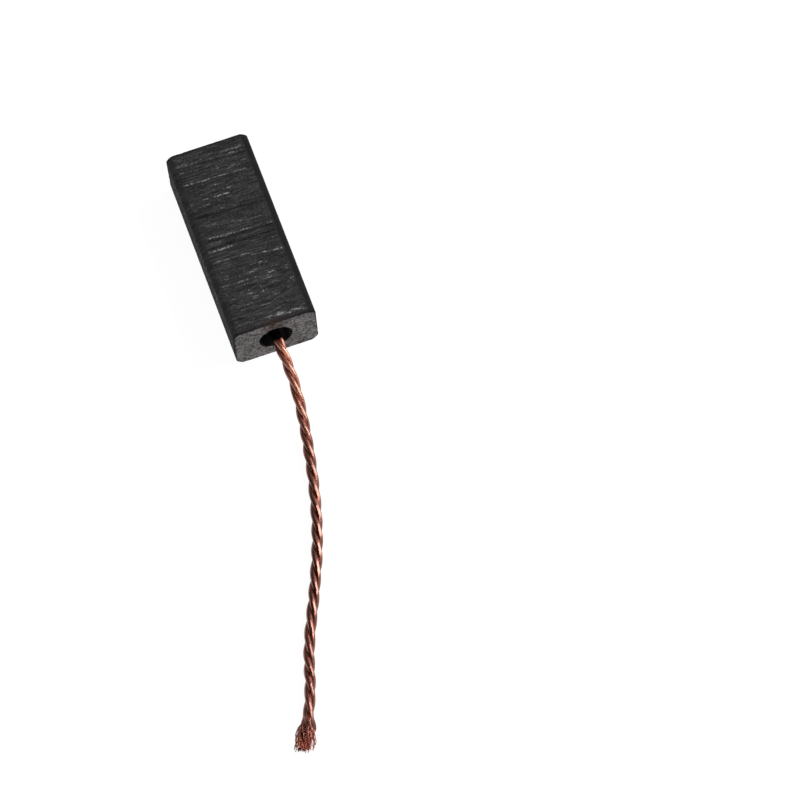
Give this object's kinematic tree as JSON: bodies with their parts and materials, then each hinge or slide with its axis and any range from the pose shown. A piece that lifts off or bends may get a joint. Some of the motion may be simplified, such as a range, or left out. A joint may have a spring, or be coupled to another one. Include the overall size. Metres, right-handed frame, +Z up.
{
  "type": "carbon brush",
  "caption": "Carbon bar with round long edges and a bare twisted copper lead tamped into a socket in its end. It slides in a holder and feeds current to a motor's commutator.",
  "frame": {"origin": "under the middle of the carbon bar, on the ground that its wide side lies on", "axes": "+Z up, +Y along the bar towards its contact end, so that the lead leaves the other end along -Y"},
  "size_m": [0.0132, 0.0514, 0.005],
  "materials": {
    "carbon": "matte",
    "copper_powder": "matte",
    "bare_copper": "satin"
  },
  "bodies": {
    "root": {"brush_block": "carbon", "tamped_plug": "copper_powder", "shunt_lead": "bare_copper"}
  },
  "joints": []
}
